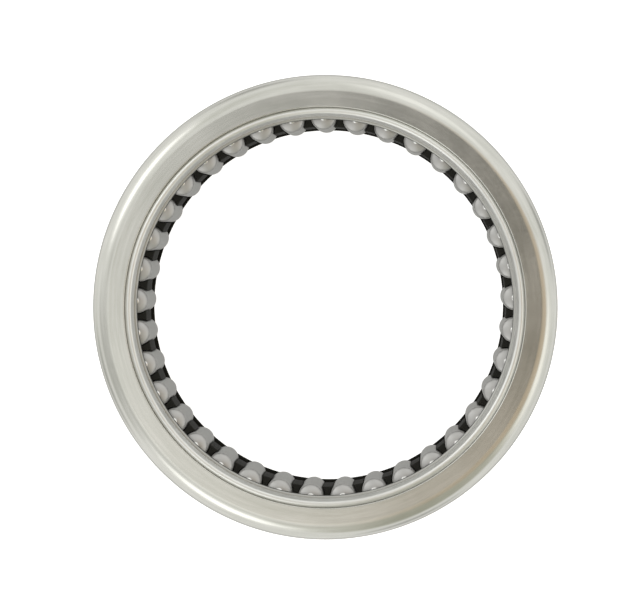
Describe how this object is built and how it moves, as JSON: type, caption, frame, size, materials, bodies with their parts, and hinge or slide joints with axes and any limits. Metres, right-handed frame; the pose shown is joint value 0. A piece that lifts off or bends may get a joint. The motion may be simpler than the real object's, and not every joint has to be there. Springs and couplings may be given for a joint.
{
  "type": "needle roller bearing",
  "caption": "Machined-ring needle roller bearing without an inner ring: a flat steel ring around a caged row of slim rollers that spin on the shaft.",
  "frame": {"origin": "centre of the bearing, on its axis and midway between its two faces", "axes": "+Z along the bearing's axis out of the front face; +X and +Y lie in the mid plane, with the lubrication hole on -Y"},
  "size_m": [0.055, 0.055, 0.02],
  "materials": {
    "ring_steel": "hardened bearing steel, turned faces and ground outside diameter, light oil film",
    "washer_steel": "hardened steel strip with a bright rolled bead",
    "cage_steel": "dark phosphated sheet steel, worn brighter on the rims",
    "needle_steel": "ground and polished rollers with rounded ends"
  },
  "bodies": {
    "ring_assembly": {"outer_ring": "ring_steel", "front_end_washer": "washer_steel", "rear_end_washer": "washer_steel"},
    "cage_body": {"cage": "cage_steel"},
    "needle_01_body": {"needle_01": "needle_steel"},
    "needle_02_body": {"needle_02": "needle_steel"},
    "needle_03_body": {"needle_03": "needle_steel"},
    "needle_04_body": {"needle_04": "needle_steel"},
    "needle_05_body": {"needle_05": "needle_steel"},
    "needle_06_body": {"needle_06": "needle_steel"},
    "needle_07_body": {"needle_07": "needle_steel"},
    "needle_08_body": {"needle_08": "needle_steel"},
    "needle_09_body": {"needle_09": "needle_steel"},
    "needle_10_body": {"needle_10": "needle_steel"},
    "needle_11_body": {"needle_11": "needle_steel"},
    "needle_12_body": {"needle_12": "needle_steel"},
    "needle_13_body": {"needle_13": "needle_steel"},
    "needle_14_body": {"needle_14": "needle_steel"},
    "needle_15_body": {"needle_15": "needle_steel"},
    "needle_16_body": {"needle_16": "needle_steel"},
    "needle_17_body": {"needle_17": "needle_steel"},
    "needle_18_body": {"needle_18": "needle_steel"},
    "needle_19_body": {"needle_19": "needle_steel"},
    "needle_20_body": {"needle_20": "needle_steel"},
    "needle_21_body": {"needle_21": "needle_steel"},
    "needle_22_body": {"needle_22": "needle_steel"},
    "needle_23_body": {"needle_23": "needle_steel"},
    "needle_24_body": {"needle_24": "needle_steel"},
    "needle_25_body": {"needle_25": "needle_steel"},
    "needle_26_body": {"needle_26": "needle_steel"},
    "needle_27_body": {"needle_27": "needle_steel"},
    "needle_28_body": {"needle_28": "needle_steel"},
    "needle_29_body": {"needle_29": "needle_steel"},
    "needle_30_body": {"needle_30": "needle_steel"},
    "needle_31_body": {"needle_31": "needle_steel"},
    "needle_32_body": {"needle_32": "needle_steel"},
    "needle_33_body": {"needle_33": "needle_steel"},
    "needle_34_body": {"needle_34": "needle_steel"},
    "needle_35_body": {"needle_35": "needle_steel"},
    "needle_36_body": {"needle_36": "needle_steel"},
    "needle_37_body": {"needle_37": "needle_steel"}
  },
  "joints": [
    {"name": "cage_spin", "type": "hinge", "parent": "ring_assembly", "child": "cage_body", "pos_m": [0, 0, 0], "axis": [0, 0, 1], "continuous": true},
    {"name": "needle_01_spin", "type": "hinge", "parent": "cage_body", "child": "needle_01_body", "pos_m": [0.02247, 0.00115, 0], "axis": [0, 0, 1], "continuous": true},
    {"name": "needle_02_spin", "type": "hinge", "parent": "cage_body", "child": "needle_02_body", "pos_m": [0.02195, 0.00493, 0], "axis": [0, 0, 1], "continuous": true},
    {"name": "needle_03_spin", "type": "hinge", "parent": "cage_body", "child": "needle_03_body", "pos_m": [0.0208, 0.00857, 0], "axis": [0, 0, 1], "continuous": true},
    {"name": "needle_04_spin", "type": "hinge", "parent": "cage_body", "child": "needle_04_body", "pos_m": [0.01906, 0.01196, 0], "axis": [0, 0, 1], "continuous": true},
    {"name": "needle_05_spin", "type": "hinge", "parent": "cage_body", "child": "needle_05_body", "pos_m": [0.01676, 0.01501, 0], "axis": [0, 0, 1], "continuous": true},
    {"name": "needle_06_spin", "type": "hinge", "parent": "cage_body", "child": "needle_06_body", "pos_m": [0.01398, 0.01763, 0], "axis": [0, 0, 1], "continuous": true},
    {"name": "needle_07_spin", "type": "hinge", "parent": "cage_body", "child": "needle_07_body", "pos_m": [0.0108, 0.01974, 0], "axis": [0, 0, 1], "continuous": true},
    {"name": "needle_08_spin", "type": "hinge", "parent": "cage_body", "child": "needle_08_body", "pos_m": [0.00731, 0.02128, 0], "axis": [0, 0, 1], "continuous": true},
    {"name": "needle_09_spin", "type": "hinge", "parent": "cage_body", "child": "needle_09_body", "pos_m": [0.00361, 0.02221, 0], "axis": [0, 0, 1], "continuous": true},
    {"name": "needle_10_spin", "type": "hinge", "parent": "cage_body", "child": "needle_10_body", "pos_m": [-0.0002, 0.0225, 0], "axis": [0, 0, 1], "continuous": true},
    {"name": "needle_11_spin", "type": "hinge", "parent": "cage_body", "child": "needle_11_body", "pos_m": [-0.00399, 0.02214, 0], "axis": [0, 0, 1], "continuous": true},
    {"name": "needle_12_spin", "type": "hinge", "parent": "cage_body", "child": "needle_12_body", "pos_m": [-0.00768, 0.02115, 0], "axis": [0, 0, 1], "continuous": true},
    {"name": "needle_13_spin", "type": "hinge", "parent": "cage_body", "child": "needle_13_body", "pos_m": [-0.01114, 0.01955, 0], "axis": [0, 0, 1], "continuous": true},
    {"name": "needle_14_spin", "type": "hinge", "parent": "cage_body", "child": "needle_14_body", "pos_m": [-0.01429, 0.01738, 0], "axis": [0, 0, 1], "continuous": true},
    {"name": "needle_15_spin", "type": "hinge", "parent": "cage_body", "child": "needle_15_body", "pos_m": [-0.01702, 0.01472, 0], "axis": [0, 0, 1], "continuous": true},
    {"name": "needle_16_spin", "type": "hinge", "parent": "cage_body", "child": "needle_16_body", "pos_m": [-0.01926, 0.01163, 0], "axis": [0, 0, 1], "continuous": true},
    {"name": "needle_17_spin", "type": "hinge", "parent": "cage_body", "child": "needle_17_body", "pos_m": [-0.02095, 0.00821, 0], "axis": [0, 0, 1], "continuous": true},
    {"name": "needle_18_spin", "type": "hinge", "parent": "cage_body", "child": "needle_18_body", "pos_m": [-0.02204, 0.00455, 0], "axis": [0, 0, 1], "continuous": true},
    {"name": "needle_19_spin", "type": "hinge", "parent": "cage_body", "child": "needle_19_body", "pos_m": [-0.02249, 0.00076, 0], "axis": [0, 0, 1], "continuous": true},
    {"name": "needle_20_spin", "type": "hinge", "parent": "cage_body", "child": "needle_20_body", "pos_m": [-0.02229, -0.00305, 0], "axis": [0, 0, 1], "continuous": true},
    {"name": "needle_21_spin", "type": "hinge", "parent": "cage_body", "child": "needle_21_body", "pos_m": [-0.02146, -0.00678, 0], "axis": [0, 0, 1], "continuous": true},
    {"name": "needle_22_spin", "type": "hinge", "parent": "cage_body", "child": "needle_22_body", "pos_m": [-0.02, -0.0103, 0], "axis": [0, 0, 1], "continuous": true},
    {"name": "needle_23_spin", "type": "hinge", "parent": "cage_body", "child": "needle_23_body", "pos_m": [-0.01797, -0.01354, 0], "axis": [0, 0, 1], "continuous": true},
    {"name": "needle_24_spin", "type": "hinge", "parent": "cage_body", "child": "needle_24_body", "pos_m": [-0.01543, -0.01638, 0], "axis": [0, 0, 1], "continuous": true},
    {"name": "needle_25_spin", "type": "hinge", "parent": "cage_body", "child": "needle_25_body", "pos_m": [-0.01244, -0.01875, 0], "axis": [0, 0, 1], "continuous": true},
    {"name": "needle_26_spin", "type": "hinge", "parent": "cage_body", "child": "needle_26_body", "pos_m": [-0.00909, -0.02058, 0], "axis": [0, 0, 1], "continuous": true},
    {"name": "needle_27_spin", "type": "hinge", "parent": "cage_body", "child": "needle_27_body", "pos_m": [-0.00548, -0.02182, 0], "axis": [0, 0, 1], "continuous": true},
    {"name": "needle_28_spin", "type": "hinge", "parent": "cage_body", "child": "needle_28_body", "pos_m": [-0.00171, -0.02243, 0], "axis": [0, 0, 1], "continuous": true},
    {"name": "needle_29_spin", "type": "hinge", "parent": "cage_body", "child": "needle_29_body", "pos_m": [0.0021, -0.0224, 0], "axis": [0, 0, 1], "continuous": true},
    {"name": "needle_30_spin", "type": "hinge", "parent": "cage_body", "child": "needle_30_body", "pos_m": [0.00586, -0.02172, 0], "axis": [0, 0, 1], "continuous": true},
    {"name": "needle_31_spin", "type": "hinge", "parent": "cage_body", "child": "needle_31_body", "pos_m": [0.00945, -0.02042, 0], "axis": [0, 0, 1], "continuous": true},
    {"name": "needle_32_spin", "type": "hinge", "parent": "cage_body", "child": "needle_32_body", "pos_m": [0.01276, -0.01853, 0], "axis": [0, 0, 1], "continuous": true},
    {"name": "needle_33_spin", "type": "hinge", "parent": "cage_body", "child": "needle_33_body", "pos_m": [0.01571, -0.01611, 0], "axis": [0, 0, 1], "continuous": true},
    {"name": "needle_34_spin", "type": "hinge", "parent": "cage_body", "child": "needle_34_body", "pos_m": [0.01821, -0.01322, 0], "axis": [0, 0, 1], "continuous": true},
    {"name": "needle_35_spin", "type": "hinge", "parent": "cage_body", "child": "needle_35_body", "pos_m": [0.02018, -0.00995, 0], "axis": [0, 0, 1], "continuous": true},
    {"name": "needle_36_spin", "type": "hinge", "parent": "cage_body", "child": "needle_36_body", "pos_m": [0.02157, -0.0064, 0], "axis": [0, 0, 1], "continuous": true},
    {"name": "needle_37_spin", "type": "hinge", "parent": "cage_body", "child": "needle_37_body", "pos_m": [0.02234, -0.00266, 0], "axis": [0, 0, 1], "continuous": true}
  ],
  "couplings": [
    {"joint": "needle_01_spin", "follows": "cage_spin", "ratio": -16},
    {"joint": "needle_02_spin", "follows": "cage_spin", "ratio": -16},
    {"joint": "needle_03_spin", "follows": "cage_spin", "ratio": -16},
    {"joint": "needle_04_spin", "follows": "cage_spin", "ratio": -16},
    {"joint": "needle_05_spin", "follows": "cage_spin", "ratio": -16},
    {"joint": "needle_06_spin", "follows": "cage_spin", "ratio": -16},
    {"joint": "needle_07_spin", "follows": "cage_spin", "ratio": -16},
    {"joint": "needle_08_spin", "follows": "cage_spin", "ratio": -16},
    {"joint": "needle_09_spin", "follows": "cage_spin", "ratio": -16},
    {"joint": "needle_10_spin", "follows": "cage_spin", "ratio": -16},
    {"joint": "needle_11_spin", "follows": "cage_spin", "ratio": -16},
    {"joint": "needle_12_spin", "follows": "cage_spin", "ratio": -16},
    {"joint": "needle_13_spin", "follows": "cage_spin", "ratio": -16},
    {"joint": "needle_14_spin", "follows": "cage_spin", "ratio": -16},
    {"joint": "needle_15_spin", "follows": "cage_spin", "ratio": -16},
    {"joint": "needle_16_spin", "follows": "cage_spin", "ratio": -16},
    {"joint": "needle_17_spin", "follows": "cage_spin", "ratio": -16},
    {"joint": "needle_18_spin", "follows": "cage_spin", "ratio": -16},
    {"joint": "needle_19_spin", "follows": "cage_spin", "ratio": -16},
    {"joint": "needle_20_spin", "follows": "cage_spin", "ratio": -16},
    {"joint": "needle_21_spin", "follows": "cage_spin", "ratio": -16},
    {"joint": "needle_22_spin", "follows": "cage_spin", "ratio": -16},
    {"joint": "needle_23_spin", "follows": "cage_spin", "ratio": -16},
    {"joint": "needle_24_spin", "follows": "cage_spin", "ratio": -16},
    {"joint": "needle_25_spin", "follows": "cage_spin", "ratio": -16},
    {"joint": "needle_26_spin", "follows": "cage_spin", "ratio": -16},
    {"joint": "needle_27_spin", "follows": "cage_spin", "ratio": -16},
    {"joint": "needle_28_spin", "follows": "cage_spin", "ratio": -16},
    {"joint": "needle_29_spin", "follows": "cage_spin", "ratio": -16},
    {"joint": "needle_30_spin", "follows": "cage_spin", "ratio": -16},
    {"joint": "needle_31_spin", "follows": "cage_spin", "ratio": -16},
    {"joint": "needle_32_spin", "follows": "cage_spin", "ratio": -16},
    {"joint": "needle_33_spin", "follows": "cage_spin", "ratio": -16},
    {"joint": "needle_34_spin", "follows": "cage_spin", "ratio": -16},
    {"joint": "needle_35_spin", "follows": "cage_spin", "ratio": -16},
    {"joint": "needle_36_spin", "follows": "cage_spin", "ratio": -16},
    {"joint": "needle_37_spin", "follows": "cage_spin", "ratio": -16}
  ]
}
